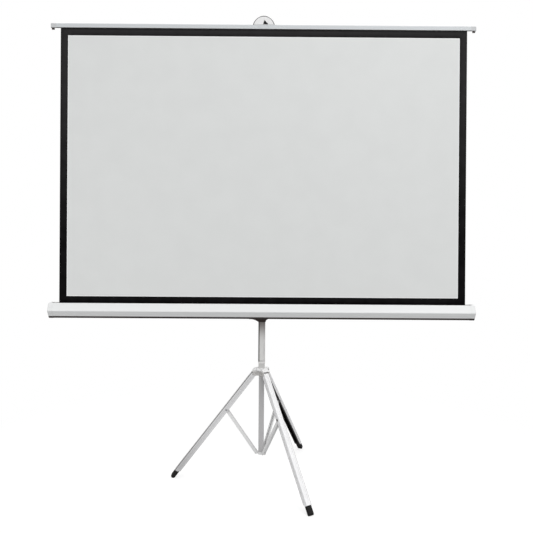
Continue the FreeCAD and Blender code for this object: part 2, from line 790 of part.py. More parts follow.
def make_tab():
    front_y = cloth_y - slat_thickness / 2
    back_y = front_y + tab_depth
    dome = tab_dome(0, front_y).extrude(Vector(0, tab_depth, 0))
    hollow = tab_dome(tab_rim, front_y + tab_wall).extrude(Vector(0, tab_depth, 0))
    # The strap reaches back over the hook's lip, and its foot rests on the round peg,
    # so that it slides off sideways when the casing is turned upright.
    half = strap_width / 2
    strap_low = hook_cap_top_z + strap_room
    strap_end_y = -hook_cap_side / 2 - strap_end_room
    strap = block((-half, front_y, strap_low), (half, strap_end_y, strap_low + strap_thickness))
    foot_start_y = hook_peg_end_y + hook_lip_thickness + strap_end_room
    foot_low = hook_peg_z + hook_peg_radius + touch_gap
    foot = block((-half, foot_start_y, foot_low), (half, strap_end_y, strap_low))
    tab = dome.cut(hollow).multiFuse([strap, foot])
    hole_low = slat_top_z + tab_hole_lift
    corners = [
        Vector(-tab_hole_left, front_y - overrun, hole_low),
        Vector(tab_hole_right, front_y - overrun, hole_low),
        Vector(tab_hole_peak, front_y - overrun, hole_low + tab_hole_height),
    ]
    hole = outline(corners, tab_hole_corner).extrude(Vector(0, overrun + tab_wall, 0))
    tab = tab.cut(hole)
    tail_y = cloth_y + slat_thickness / 2
    tail_half = tab_tail_width / 2
    ledge_top = slat_top_z + tab_ledge
    tail = block((-tail_half, tail_y, slat_top_z - tab_tail), (tail_half, tail_y + tab_wall, ledge_top))
    ledge = block((-tail_half, front_y, slat_top_z), (tail_half, tail_y + tab_wall, ledge_top))
    tab = tab.multiFuse([tail, ledge])
    rivets = []
    for side in (-1, 1):
        x = side * tab_rivet_spacing / 2
        z = slat_top_z - tab_tail / 2
        tab = tab.cut(rod(tab_rivet_radius, (x, front_y, z), (x, tail_y + tab_wall + overrun, z)))
        shank = rod(tab_rivet_radius, (x, front_y, z), (x, tail_y + tab_wall, z))
        front = rod(tab_rivet_head, (x, front_y, z), (x, front_y - pin_head_height / 2, z))
        back = rod(tab_rivet_head, (x, tail_y + tab_wall, z), (x, tail_y + tab_wall + pin_head_height / 2, z))
        rivets.append(shank.multiFuse([front, back]))
    save("hanger_tab", tab.removeSplitter())
    save("tab_rivets", group(rivets))


def make_cloth():
    half = cloth_width / 2
    half_thickness = cloth_thickness / 2
    cloth = block((cloth_shift_x - half, cloth_y - half_thickness, roller_center_z),
                  (cloth_shift_x + half, cloth_y + half_thickness, slat_bottom_z + cloth_into_slat))
    save("screen_cloth", cloth)
    front = cloth_y - half_thickness
    low = casing_top_z - border_hidden
    frame = block((cloth_shift_x - half, front - border_thickness, low),
                  (cloth_shift_x + half, front, slat_bottom_z))
    window = block((cloth_shift_x - half + border_width, front - overrun, low + border_width),
                   (cloth_shift_x + half - border_width, front + overrun, slat_bottom_z - border_width))
    save("black_border", frame.cut(window))


def make_casing():
    half = casing_length / 2 - cap_length
    shell = casing_prism(0, -half, half)
    shell = shell.cut(casing_prism(-casing_wall, -half - overrun, half + overrun))
    slot_half = cloth_width / 2 + slot_end_margin
    shell = shell.cut(block((cloth_shift_x - slot_half, cloth_y - slot_width / 2, casing_center_z),
                            (cloth_shift_x + slot_half, cloth_y + slot_width / 2, casing_top_z + overrun)))
    for x, z in saddle_screw_places():
        shell = shell.cut(rod(cap_screw_radius, (x, casing_back_y, z), (x, saddle_screw_tip_y(z), z)))
    save("casing_shell", shell)
    for name, side in (("left", -1), ("right", 1)):
        save("casing_cap_" + name, casing_cap(side))
    save("cap_screws", group([cap_screw(side, lift) for side in (-1, 1) for lift in (-1, 1)]))


def casing_cap(side):
    near = side * (casing_length / 2 - cap_length)
    far = side * casing_length / 2
    cap = casing_prism(cap_proud, near, far)
    rim = []
    for edge in cap.Edges:
        if max(abs(edge.BoundBox.XMin - far), abs(edge.BoundBox.XMax - far)) < pin_gap:
            rim.append(edge)
    cap = cap.makeChamfer(cap_edge, rim)
    inside = near - side * cap_spigot
    spigot = casing_prism(-casing_wall, inside, near)
    spigot = spigot.cut(casing_prism(-casing_wall - cap_spigot_wall, inside - side * overrun, near))
    boss = rod(bearing_boss_radius, (near, roller_y, roller_center_z), (inside, roller_y, roller_center_z))
    cap = cap.multiFuse([spigot, boss])
    hole_radius = spring_shaft_radius if side > 0 else idler_radius + pin_gap
    cap = cap.cut(rod(hole_radius, (near + side * casing_wall, roller_y, roller_center_z),
                      (inside - side * overrun, roller_y, roller_center_z)))
    for lift in (-1, 1):
        z = casing_center_z + lift * cap_screw_lift
        cap = cap.cut(rod(cap_screw_radius, (far - side * cap_screw_length, casing_center_y, z),
                          (far + side * overrun, casing_center_y, z)))
    # A pocket in the cap's top takes the slat's lip when the cloth is wound in.
    lip_far, lip_near = lip_ends(side)
    room = slat_lip_width / 2 + lip_pocket_room
    pocket = block((min(lip_far, lip_near) - lip_pocket_room, cloth_y - room, casing_top_z - slat_lip_drop),
                   (max(lip_far, lip_near) + lip_pocket_room, cloth_y + room, casing_top_z + overrun))
    return cap.cut(pocket).removeSplitter()


def cap_screw(side, lift):
    far = side * casing_length / 2
    near = far - side * cap_screw_length
    z = casing_center_z + lift * cap_screw_lift
    shank = rod(cap_screw_radius, (near, casing_center_y, z), (far, casing_center_y, z))
    head = rod(cap_screw_head, (far, casing_center_y, z), (far + side * pin_head_height, casing_center_y, z))
    return shank.fuse(head.makeFillet(pin_head_height / 2, [head.Edges[0]]))


def make_roller():
    inner_end = casing_length / 2 - cap_length - cap_spigot
    half = inner_end - roller_end_gap
    center = (roller_y, roller_center_z)
    tube = rod(roller_radius, (-half, *center), (half, *center))
    tube = tube.cut(rod(roller_radius - roller_wall, (-half - overrun, *center), (half + overrun, *center)))
    save("roller_tube", tube)
    roll_half = cloth_width / 2
    roll = rod(roll_radius, (cloth_shift_x - roll_half, *center), (cloth_shift_x + roll_half, *center))
    roll = roll.cut(rod(roller_radius, (-half - overrun, *center), (half + overrun, *center)))
    save("wound_cloth", roll)
    # The idler pin is in the left plug, and the spring's fixed shaft passes through the right one.
    plug_radius = roller_radius - roller_wall
    left = rod(plug_radius, (-half, *center), (-half + roller_plug_length, *center))
    left = left.fuse(rod(idler_radius, (-half, *center), (-half - roller_end_gap - idler_length, *center)))
    save("roller_plug_left", left)
    right = rod(plug_radius, (half, *center), (half - roller_plug_length, *center))
    right = right.cut(rod(spring_shaft_radius + pin_gap, (half + overrun, *center), (-half, *center)))
    save("roller_plug_right", right)
    shaft_start = casing_length / 2 - cap_length + casing_wall
    spring_start = half - roller_plug_length - roller_end_gap
    spring_end = spring_start - spring_length
    shaft_end = spring_end - spring_anchor_length - spring_shaft_tail
    shaft = rod(spring_shaft_radius, (shaft_start, *center), (shaft_end, *center))
    save("spring_shaft", shaft)
    spring = rod(spring_outer_radius, (spring_start, *center), (spring_end, *center))
    core = rod(spring_inner_radius, (spring_start + overrun, *center), (spring_end - overrun, *center))
    save("motor_spring", spring.cut(core))
    anchor = rod(spring_outer_radius, (spring_end, *center), (spring_end - spring_anchor_length, *center))
    save("spring_anchor", anchor.cut(shaft))


def make_case_bracket():
    half = carriage_side / 2
    corner = carriage_corner + overrun / 2
    sleeve = square_bar(case_bracket_side, corner, case_bracket_bottom_z, case_bracket_top_z)
    # The saddle plate spreads from the tube's width to a wide seat, with hollow curved flanks.
    y = -half
    left_low = Vector(-half, y, saddle_bottom_z)
    right_low = Vector(half, y, saddle_bottom_z)
    left_high = Vector(-saddle_left, y, case_bracket_bottom_z)
    right_high = Vector(saddle_right, y, case_bracket_bottom_z)
    bend_z = saddle_bottom_z + (case_bracket_bottom_z - saddle_bottom_z) * saddle_bend_rise_share
    left_bend = Vector(-half - (saddle_left - half) * saddle_bend_reach_share, y, bend_z)
    right_bend = Vector(half + (saddle_right - half) * saddle_bend_reach_share, y, bend_z)
    left_top = Vector(-saddle_left, y, case_bracket_top_z)
    right_top = Vector(saddle_right, y, case_bracket_top_z)
    edges = [
        Part.makeLine(left_low, right_low),
        Part.Arc(right_low, right_bend, right_high).toShape(),
        Part.makeLine(right_high, right_top),
        Part.makeLine(right_top, left_top),
        Part.makeLine(left_top, left_high),
        Part.Arc(left_high, left_bend, left_low).toShape(),
    ]
    plate = Part.Face(Part.Wire(edges)).extrude(Vector(0, -saddle_plate, 0))
    skirt = square_bar(case_bracket_side - overrun, corner, saddle_bottom_z, case_bracket_bottom_z)
    body = sleeve.multiFuse([plate, skirt])
    way = square_bar(carriage_side, carriage_corner, saddle_bottom_z - overrun, case_bracket_top_z + overrun)
    body = body.cut(way)
    reach = case_bracket_side / 2 + saddle_plate
    body = body.cut(rod(pivot_stud_radius + pin_gap, (0, -half, pivot_z), (0, -reach, pivot_z)))
    pin_z = pivot_z - lever_pivot_drop
    pin_hole = rod(lever_pin_radius, (lever_pivot_x, -half + overrun, pin_z), (lever_pivot_x, -reach, pin_z))
    save("case_bracket", body.cut(pin_hole).removeSplitter())


def saddle_screw_places():
    lifts = (saddle_screw_low, saddle_screw_high)
    return [(side * saddle_screw_spacing / 2, casing_center_z + lift) for side in (-1, 1) for lift in lifts]


def saddle_screw_tip_y(z):
    # The casing's rear faces slope in from the crease at its middle, above and below.
    lift = z - casing_center_z
    share = casing_top_rear_share if lift > 0 else casing_bottom_share
    run_in = abs(lift) / (casing_height / 2) * (1 - share) * casing_depth / 2
    return casing_back_y - run_in - saddle_screw_bite


def make_case_saddle():
    plate_front = -(carriage_side / 2 + saddle_plate)
    back = plate_front - touch_gap - pivot_disc_thickness
    half = case_saddle_width / 2
    low = casing_bottom_z - casing_wall
    high = casing_center_z + case_saddle_rise
    body = block((-half, casing_center_y, low), (half, back, high))
    back_edges = [e for e in edges_along(body, X_AXIS) if e.Vertexes[0].Y > casing_back_y]
    body = body.makeFillet(pin_head_height, back_edges)
    body = body.cut(casing_prism(0, -casing_length, casing_length))
    disc = rod(pivot_disc_radius, (0, back, pivot_z), (0, plate_front - touch_gap, pivot_z))
    body = body.fuse(disc)
    stud_end = -carriage_side / 2 - touch_gap
    stud = rod(pivot_stud_radius, (0, back - pivot_disc_thickness, pivot_z), (0, stud_end, pivot_z))
    body = body.cut(stud)
    screws = []
    for x, z in saddle_screw_places():
        shank = rod(cap_screw_radius, (x, back, z), (x, saddle_screw_tip_y(z), z))
        body = body.cut(shank)
        screws.append(shank.fuse(rod(cap_screw_head, (x, back, z), (x, back + saddle_screw_head, z))))
    save("case_saddle", body.removeSplitter())
    save("saddle_screws", group(screws))
    save("pivot_stud", stud)


def make_tilt_lever():
    near = -(carriage_side / 2 + saddle_plate) - touch_gap
    far = near - lever_thickness
    x = lever_pivot_x
    z = pivot_z - lever_pivot_drop
    cam_radius = math.hypot(lever_pivot_x, lever_pivot_drop) - pivot_disc_radius - touch_gap
    cam = rod(cam_radius, (x, near, z), (x, far, z))
    tail_half = lever_tail_width / 2
    tail_z = z - tail_half
    tail = block((x - lever_tail, far, tail_z - tail_half), (x, near, tail_z + tail_half))
    tip = rod(tail_half, (x - lever_tail, near, tail_z), (x - lever_tail, far, tail_z))
    lever = cam.multiFuse([tail, tip])
    pin_hole = rod(lever_pin_radius + pin_gap, (x, near + overrun, z), (x, far - overrun, z))
    save("tilt_lever", lever.cut(pin_hole))
    pin_end = far - touch_gap
    pin = rod(lever_pin_radius, (x, -carriage_side / 2, z), (x, pin_end, z))
    head = rod(pin_head_radius, (x, pin_end, z), (x, pin_end - pin_head_height / 2, z))
    save("tilt_lever_pin", pin.fuse(head))


make_legs()
make_braces()
make_post()
make_brace_bracket()
make_hub()
make_carriage()
make_pole()
make_hook()
make_slat()
make_tab()
make_cloth()
make_casing()
make_roller()
make_case_bracket()
make_case_saddle()
make_tilt_lever()

print("brace length", round(brace_length, 3))
print("brace angle open", round(brace_open_angle, 3), "shut", round(brace_shut_angle, 3))
print("fold travel", round(fold_travel, 3))
print("wind travel", round(wind_travel, 3), "of two stages of", round(stage_travel, 3))
print("pivot z", round(pivot_z, 3), "slat bottom z", slat_bottom_z)
print("hook cap bottom z", round(hook_cap_bottom_z, 3))
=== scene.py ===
# %% [markdown]
# A projection screen on a folding tripod: a spring roller in a six-sided casing, a white cloth with a black border,
# and a telescopic pole that holds the cloth up. A CAD model gives every rigid piece in metres. This lesson loads that
# frame, makes the fabric that CAD can only show as slabs, and gives each piece a finish made of nodes.
# %% Load the frame
import math
import bpy
from mathutils import Matrix, Vector


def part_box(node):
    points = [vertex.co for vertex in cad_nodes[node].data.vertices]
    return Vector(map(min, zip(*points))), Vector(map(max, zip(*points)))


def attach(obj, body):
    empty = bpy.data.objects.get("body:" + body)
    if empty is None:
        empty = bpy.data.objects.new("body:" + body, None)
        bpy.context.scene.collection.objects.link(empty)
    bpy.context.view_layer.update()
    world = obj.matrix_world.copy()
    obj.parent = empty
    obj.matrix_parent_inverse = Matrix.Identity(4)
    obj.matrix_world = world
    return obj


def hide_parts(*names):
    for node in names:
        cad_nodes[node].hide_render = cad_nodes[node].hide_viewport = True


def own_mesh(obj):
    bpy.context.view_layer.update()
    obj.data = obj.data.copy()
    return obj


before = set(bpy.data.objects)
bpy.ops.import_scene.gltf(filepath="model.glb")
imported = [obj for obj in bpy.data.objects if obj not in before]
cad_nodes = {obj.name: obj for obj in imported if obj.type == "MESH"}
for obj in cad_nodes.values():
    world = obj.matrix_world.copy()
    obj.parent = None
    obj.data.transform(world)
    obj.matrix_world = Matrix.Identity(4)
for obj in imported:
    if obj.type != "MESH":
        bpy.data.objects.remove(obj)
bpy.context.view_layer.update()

# %% [markdown]
# The camera comes first, because it decides how fine each detail has to be. The photographer held the lens level,
# a little above the middle of the stand, so upright edges stay upright. The picture's lower half is reached with lens
# shift, as with a view camera: tilting the camera down would make the cloth's sides converge.
# %% The photographer's camera
photo_side = 533
focal_pixels = 594.5
level_row = 218.8
sensor_width = 36.0
camera_place = (0.0076, -2.8, 1.227)
turn_left, tilt_down, lean = (math.radians(degrees) for degrees in (-0.22, 0.16, 0.39))

lens = bpy.data.cameras.new("photo_camera")
lens.sensor_width = sensor_width
lens.lens = sensor_width * focal_pixels / photo_side
lens.shift_y = (level_row - photo_side / 2) / photo_side
photo_camera = bpy.data.objects.new("photo_camera", lens)
aimed = Matrix.Rotation(turn_left, 4, "Z") @ Matrix.Rotation(math.pi / 2 - tilt_down, 4, "X")
photo_camera.matrix_world = Matrix.Translation(camera_place) @ aimed @ Matrix.Rotation(lean, 4, "Z")
bpy.context.scene.collection.objects.link(photo_camera)
bpy.context.scene.camera = photo_camera
bpy.context.scene.view_settings.view_transform = "Standard"
print("lens", round(lens.lens, 2), "mm, shift", round(lens.shift_y, 4))

# %% [markdown]
# A finish is a small network of nodes. Written by hand, such a network hides its arithmetic, so two helpers come
# first. A Wire is one output socket that can stand in a sum, so that 1 - mask reads as it is meant. A Finish owns
# the network, and its one method adds any node: the type, the settings, and then what its sockets get.
# %% Helpers for writing finishes
class Wire:
    """One output socket that takes part in sums."""

    def __init__(self, finish, socket):
        self.finish, self.socket = finish, socket

    def maths(self, operation, *others):
        return self.finish.add("ShaderNodeMath", {"operation": operation}, dict(enumerate((self, *others))))

    def __add__(self, other):
        return self.maths("ADD", other)

    def __sub__(self, other):
        return self.maths("SUBTRACT", other)

    def __mul__(self, other):
        return self.maths("MULTIPLY", other)

    def __gt__(self, other):
        return self.maths("GREATER_THAN", other)

    def __lt__(self, other):
        return self.maths("LESS_THAN", other)

    def __rsub__(self, other):
        return self.finish.add("ShaderNodeMath", {"operation": "SUBTRACT"}, {0: other, 1: self})

    __radd__ = __add__
    __rmul__ = __mul__


class Finish:
    """The node network of a material or of the world."""

    def __init__(self, owner):
        owner.use_nodes = True
        self.owner, self.tree = owner, owner.node_tree
        self.tree.nodes.clear()

    def add(self, kind, settings=None, sockets=None, out=0):
        node = self.tree.nodes.new(kind)
        for name, value in (settings or {}).items():
            setattr(node, name, value)
        for key, value in (sockets or {}).items():
            if isinstance(value, Wire):
                self.tree.links.new(value.socket, node.inputs[key])
            else:
                node.inputs[key].default_value = value
        return Wire(self, node.outputs[out]) if len(node.outputs) else node

    def place(self):
        """Where a point of the piece is, in metres."""
        return self.add("ShaderNodeTexCoord", out="Object")

    def along(self, axis):
        return self.add("ShaderNodeSeparateXYZ", sockets={0: self.place()}, out=axis)

    def stretched(self, x, y, z):
        return self.add("ShaderNodeMapping", sockets={"Vector": self.place(), "Scale": (x, y, z)})

    def noise(self, scale, detail=3.0, where=None):
        return self.add("ShaderNodeTexNoise",
                        sockets={"Vector": where or self.place(), "Scale": scale, "Detail": detail})

    def dot(self, first, second):
        """How far one vector reaches along another."""
        return self.add("ShaderNodeVectorMath", {"operation": "DOT_PRODUCT"}, {0: first, 1: second}, out="Value")

    def ramp(self, value, low, high):
        """0 where value is at low, 1 where it is at high, and smooth between."""
        return self.add("ShaderNodeMapRange", {"interpolation_type": "SMOOTHSTEP"},
                        {"Value": value, "From Min": low, "From Max": high})

    def mix(self, share, first, second):
        """The first colour where share is 0, the second where it is 1."""
        first, second = (x if isinstance(x, Wire) else tuple(x[:3]) + (1,) for x in (first, second))
        return self.add("ShaderNodeMix", {"data_type": "RGBA"}, {0: share, 6: first, 7: second}, out=2)


print("helpers ready")

# %% [markdown]
# The object stood on white paper that fades into the background. A plain floor takes the light and the shadow of the
# stand, and further out it turns into the same white as the background. Only rays from the camera see that white, so
# nothing more than plain light falls on the object. Mirror rays see the white as well, because the real
# metal has white paper all round it. In the photograph the upright faces of the legs are all about as bright, and
# what faces upwards is the brightest, so the room's own light grows upwards and a little to the right.
# %% The white surroundings
dim_side, bright_side = 0.28, 0.92
to_bright_side = (0.30, 0.0, 0.95)
dim_until, bright_from = -0.9, 0.9
paper, paper_grain = (0.40, 0.40, 0.40), (0.43, 0.43, 0.43)
grains_per_metre = 180.0
paper_glow = 0.66
white_from, white_by = 0.7, 1.7
white = (1, 1, 1, 1)


def seen_directly(finish, kinds):
    total = 0
    for kind in kinds:
        total = finish.add("ShaderNodeLightPath", out=kind) + total
    return total


bpy.context.scene.world = bpy.data.worlds.new("white_surroundings")
sky = Finish(bpy.context.scene.world)
dim = sky.add("ShaderNodeBackground", sockets={"Color": white, "Strength": dim_side})
bright = sky.add("ShaderNodeBackground", sockets={"Color": white, "Strength": bright_side})
brightness = sky.dot(sky.add("ShaderNodeTexCoord", out="Generated"), to_bright_side)
how_bright = sky.ramp(brightness, dim_until, bright_from)
lit_by = sky.add("ShaderNodeMixShader", sockets={0: how_bright, 1: dim, 2: bright})
seen_as = sky.add("ShaderNodeBackground", sockets={"Color": white, "Strength": 1.0})
seen = seen_directly(sky, ("Is Camera Ray", "Is Glossy Ray", "Is Transmission Ray"))
surroundings = sky.add("ShaderNodeMixShader", sockets={0: seen, 1: lit_by, 2: seen_as})
sky.add("ShaderNodeOutputWorld", sockets={"Surface": surroundings})

floor_half = 30.0
floor_mesh = bpy.data.meshes.new("paper_floor")
corners = [(x * floor_half, y * floor_half, 0) for x, y in ((-1, -1), (1, -1), (1, 1), (-1, 1))]
floor_mesh.from_pydata(corners, [], [(0, 1, 2, 3)])
floor = bpy.data.objects.new("paper_floor", floor_mesh)
bpy.context.scene.collection.objects.link(floor)

paper_finish = Finish(bpy.data.materials.new("white_paper"))
paper_colour = paper_finish.mix(paper_finish.noise(grains_per_metre), paper, paper_grain)
matt = paper_finish.add("ShaderNodeBsdfDiffuse", sockets={"Color": paper_colour})
glow = paper_finish.add("ShaderNodeEmission", sockets={"Color": white, "Strength": paper_glow})
lifted = paper_finish.add("ShaderNodeAddShader", sockets={0: matt, 1: glow})
far_white = paper_finish.add("ShaderNodeEmission", sockets={"Color": white, "Strength": 1.0})
from_middle = paper_finish.add("ShaderNodeVectorMath", {"operation": "LENGTH"},
                               {0: paper_finish.place()}, out="Value")
how_far = paper_finish.ramp(from_middle, white_from, white_by)
near_to_far = paper_finish.add("ShaderNodeMixShader", sockets={0: how_far, 1: lifted, 2: far_white})
seen = seen_directly(paper_finish, ("Is Camera Ray",))
surface = paper_finish.add("ShaderNodeMixShader", sockets={0: seen, 1: matt, 2: near_to_far})
paper_finish.add("ShaderNodeOutputMaterial", sockets={"Surface": surface})
floor_mesh.materials.append(paper_finish.owner)
print("floor and background are white")

# %% [markdown]
# In the photograph the cloth is brightest at its top right, the casing's upper face is nearly white and its lower
# face is grey. So the main light is a large soft panel high up on the right, a second one hangs overhead, and a weak
# one fills from low on the left. Area lights this large leave no hard shadow edges.
# %% Soft studio lights
def soft_panel(name, place, aim, size, watts):
    panel = bpy.data.lights.new(name, "AREA")
    panel.shape, panel.size, panel.energy = "SQUARE", size, watts
    stand = bpy.data.objects.new(name, panel)
    away_from_aim = (Vector(place) - Vector(aim)).to_track_quat("Z", "Y")
    stand.matrix_world = Matrix.Translation(place) @ away_from_aim.to_matrix().to_4x4()
    bpy.context.scene.collection.objects.link(stand)
    print(name, watts, "W")


soft_panel("main_panel", (2.3, -3.2, 3.0), (0, 0, 1.2), 2.4, 44)
soft_panel("fill_panel", (-2.7, -2.2, 1.1), (0, 0, 0.35), 2.0, 14)
soft_panel("overhead_panel", (0.3, -0.7, 4.4), (0, -0.1, 1.0), 2.6, 22)

# %% [markdown]
# Nearly every surface on this stand is smooth paint, plastic or metal, so one function carries what they share: a
# slight unevenness of tone, a rougher or smoother patch here and there, a fine grain in the surface, and a
# rounded look at the edges, where a Bevel node bends the normals of the sharp CAD edges. The bent normal also tells
# where an edge is: there the paint is thin, and in scuffed patches what is under it shows. Only the strength of these
# differs from one finish to the next. What is special to one piece, such as a dark strip, comes as a function that
# paints over the colour.
# %% One recipe for smooth hard surfaces
patches_per_metre, scuffs_per_metre, sheen_per_metre = 9.0, 60.0, 25.0
edge_from, edge_full = 0.02, 0.2
scuff_fade = 0.25
sheen_change = 0.05


def toned(colour, change):
    """A colour made lighter by a share, or darker by a negative one."""
    return tuple(min(1.0, c * (1 + change)) for c in colour)


def hard_finish(name, colour, roughness, metallic=0.0, grain_size=0.002, grain_depth=0.00002, tone=0.05,
                worn=None, worn_share=0.0, worn_from=0.45, pulled=(1, 1, 1), rounding=0.0007, gloss=0.5,
                paint_over=None):
    finish = Finish(bpy.data.materials.new(name))
    where = finish.stretched(*pulled)
    colour_wire = finish.mix(finish.noise(patches_per_metre, 4.0, where), toned(colour, -tone), toned(colour, tone))
    rounded = finish.add("ShaderNodeBevel", {"samples": 6}, {"Radius": rounding})
    if worn:
        facing = finish.dot(rounded, finish.add("ShaderNodeNewGeometry", out="True Normal"))
        scuffs = finish.ramp(finish.noise(scuffs_per_metre, 5.0), worn_from, worn_from + scuff_fade)
        edge = finish.ramp(1 - facing, edge_from, edge_full) * scuffs * worn_share
        colour_wire = finish.mix(edge, colour_wire, worn)
    if paint_over:
        colour_wire = paint_over(finish, colour_wire)
    grain = finish.noise(1 / grain_size, 2.0, where)
    relief = finish.add("ShaderNodeBump", sockets={
        "Strength": 1.0, "Distance": grain_depth, "Height": grain, "Normal": rounded})
    sheen_patches = finish.noise(sheen_per_metre, 3.0, where)
    shader = finish.add("ShaderNodeBsdfPrincipled", sockets={
        "Base Color": colour_wire, "Roughness": roughness - sheen_change + sheen_patches * (2 * sheen_change),
        "Metallic": metallic, "Specular IOR Level": gloss, "Normal": relief})
    finish.add("ShaderNodeOutputMaterial", sockets={"Surface": shader})
    return finish.owner


def below(height, colour):
    """A painter that colours everything under a height."""
    return lambda finish, under: finish.mix(finish.along("Z") < height, under, colour)


bare_steel = (0.42, 0.42, 0.43)
print("recipe ready")

# %% [markdown]
# A leg is a channel, bent from sheet and open towards the mast. Its inside lies in shade, which is painted nearly
# black, and the shade along a bend and along the sheet's cut edge is painted as fine lines. To colour only these, a
# point has to be read in the leg's own directions: how far it lies from the middle of the channel, and how deep
# towards its web. Both are dot products with a direction of the leg.
# %% Painted shade inside and along the lines of a channel leg
leg_lean = math.radians(37.8)
hinge_radius, hinge_height = 0.026, 0.498
channel_half_inside, channel_depth_inside = 0.0113, 0.0158
bend_half, bend_depth, bend_share = 0.0100, 0.0137, 0.85
below_hub = 0.468
foot_shade_below, foot_shade_gone_above = 0.03, 0.24
fade = 0.001
# Painted shade: the channel's inside, the lines along a bend and a cut edge, and the low end.
channel_shade_black = (0.014, 0.012, 0.012)
line_shade_grey = (0.20, 0.19, 0.185)
bend_shade_dark = (0.07, 0.065, 0.063)
foot_shade_grey = (0.42, 0.415, 0.42)


def channel_tones(way, bent_side, bend_colour, cut_edge, cut_colour, foot_shade):
    """A painter of shade for the leg that points so many degrees round from +X. The inside, one bend (bend_colour) and
    what is less deep than cut_edge (cut_colour) get painted shade, and the share called foot_shade greys the low end."""
    out_x, out_y = math.cos(math.radians(way)), math.sin(math.radians(way))
    to_web = (out_x * math.cos(leg_lean), out_y * math.cos(leg_lean), math.sin(leg_lean))
    to_side = (-out_y * bent_side, out_x * bent_side, 0)
    middle = hinge_radius * math.cos(leg_lean) + hinge_height * math.sin(leg_lean)

    def paint(finish, under):
        depth = finish.dot(finish.place(), to_web) - middle
        aside = finish.dot(finish.place(), to_side)
        height = finish.along("Z")
        # Painted shade inside the channel, along a bend and a cut edge, and towards the foot.
        in_channel = (aside.maths("ABSOLUTE") < channel_half_inside) * (depth < channel_depth_inside)
        bend = finish.ramp(depth, bend_depth, bend_depth + fade) * (aside > bend_half)
        near_foot = 1 - finish.ramp(height, foot_shade_below, foot_shade_gone_above)
        low_end = finish.mix(near_foot * foot_shade, under, foot_shade_grey)
        edged = finish.mix(depth < cut_edge, low_end, cut_colour)
        lined = finish.mix(bend * bend_share, edged, bend_colour)
        return finish.mix(in_channel * (height < below_hub), lined, channel_shade_black)
    return paint


print("channel painter ready")

# %% [markdown]
# The legs, braces and hub are stamped steel under white powder paint. Its skin is like that of an orange, a wave
# of a millimetre or two, and it wears through first on the edges. Each leg's white gets its own tone, which paints the
# light and shade that falls on that leg. Painted shade darkens one bend of the left and the rear leg, greys that bend
# on the front one, and greys the left one towards its foot. The rear leg's cut edge gets a dark lip of painted shade.
# %% White paint on the legs, with painted light and shade
edge_brown = (0.16, 0.125, 0.105)
# tone with painted light, then for the painter: way, bent side, bend's colour, cut edge's depth and colour, foot shade
leg_looks = {
    "left": (0.755, channel_tones(180, 1, bend_shade_dark, -0.0079, line_shade_grey, 0.5)),
    "front": (0.92, channel_tones(-60, 1, line_shade_grey, -0.0060, line_shade_grey, 0.0)),
    "rear": (0.88, channel_tones(60, -1, bend_shade_dark, 0.0, channel_shade_black, 0.0)),
}
# Each leg's tone is painted light and shade for that leg.
leg_whites_painted_light = {side: hard_finish("white_leg_paint_painted_light_" + side, (tone, tone, tone + 0.008), 0.45,
                                worn=edge_brown, worn_share=0.7, worn_from=0.30,
                                rounding=0.0012, gloss=0.3, paint_over=painter)
              for side, (tone, painter) in leg_looks.items()}
print("leg finishes:", len(leg_whites_painted_light))

# %% [markdown]
# The hub is one stamping, an arched crown with the sides pressed down from it. The openings under the white arch lie
# in shade, which is painted grey on these sides. Only faces that stand upright and lie lower than the crown are
# painted over, which the Normal and the height tell. The neck round the mast is a little greyer than the crown.
# %% White paint on the hub and the braces
# Painted shade: grey on the upright sides under the crown.
side_shade_grey, side_shade_share = (0.46, 0.445, 0.43), 0.75
side_shade_full, side_shade_from = 0.4995, 0.5105
upright_until, level_from = 0.15, 0.55
neck_foot, neck_grey = 0.5185, (0.60, 0.595, 0.585)


def painted_shade_on_the_sides(finish, under):
    height = finish.along("Z")
    neck = finish.mix(finish.ramp(height, neck_foot, neck_foot + fade), under, neck_grey)
    normal = finish.add("ShaderNodeNewGeometry", out="Normal")
    upward = finish.add("ShaderNodeSeparateXYZ", sockets={0: normal}, out="Z").maths("ABSOLUTE")
    upright = 1 - finish.ramp(upward, upright_until, level_from)
    under_crown = 1 - finish.ramp(height, side_shade_full, side_shade_from)
    return finish.mix(upright * under_crown * side_shade_share, neck, side_shade_grey)


white_paint = hard_finish("white_powder_paint", (0.88, 0.88, 0.88), 0.45, worn=edge_brown, worn_share=1.0,
                          worn_from=0.22, rounding=0.0022, gloss=0.3, paint_over=painted_shade_on_the_sides)
brace_white = hard_finish("white_brace_paint", (0.87, 0.87, 0.87), 0.45, worn=edge_brown, worn_share=0.9,
                          worn_from=0.22, rounding=0.0012, gloss=0.3)
print("sides greyed below", side_shade_from, "m, neck above", neck_foot, "m")

# %% [markdown]
# The mast is grey below and silver above. Its tubes have well rounded corners, the casing's shadow is painted brown
# on the upper tube just below the casing, and a dark line of painted shade runs down that tube's left front corner.
# %% The grey mast
# Painted shadow below the casing, and painted shade along the left front corner.
shadow_low, shadow_high, shadow_share = 0.640, 0.752, 0.87
painted_shadow_brown = (0.20, 0.17, 0.155)
corner_from, corner_full, corner_share = 0.0092, 0.0122, 0.9
corner_shade_grey = (0.06, 0.057, 0.055)


# Paints the casing's shadow brown on the tube's top, and shade as a dark line on its left front corner.
def painted_shadow_and_corner_shade(finish, under):
    rubbed_and_painted_light = finish.mix(finish.ramp(finish.along("Z"), shadow_low, shadow_high) * shadow_share, under, painted_shadow_brown)
    at_corner = finish.ramp(finish.along("X") * -1, corner_from, corner_full) * (finish.along("Y") < -corner_from)
    return finish.mix(at_corner * corner_share, rubbed_and_painted_light, corner_shade_grey)


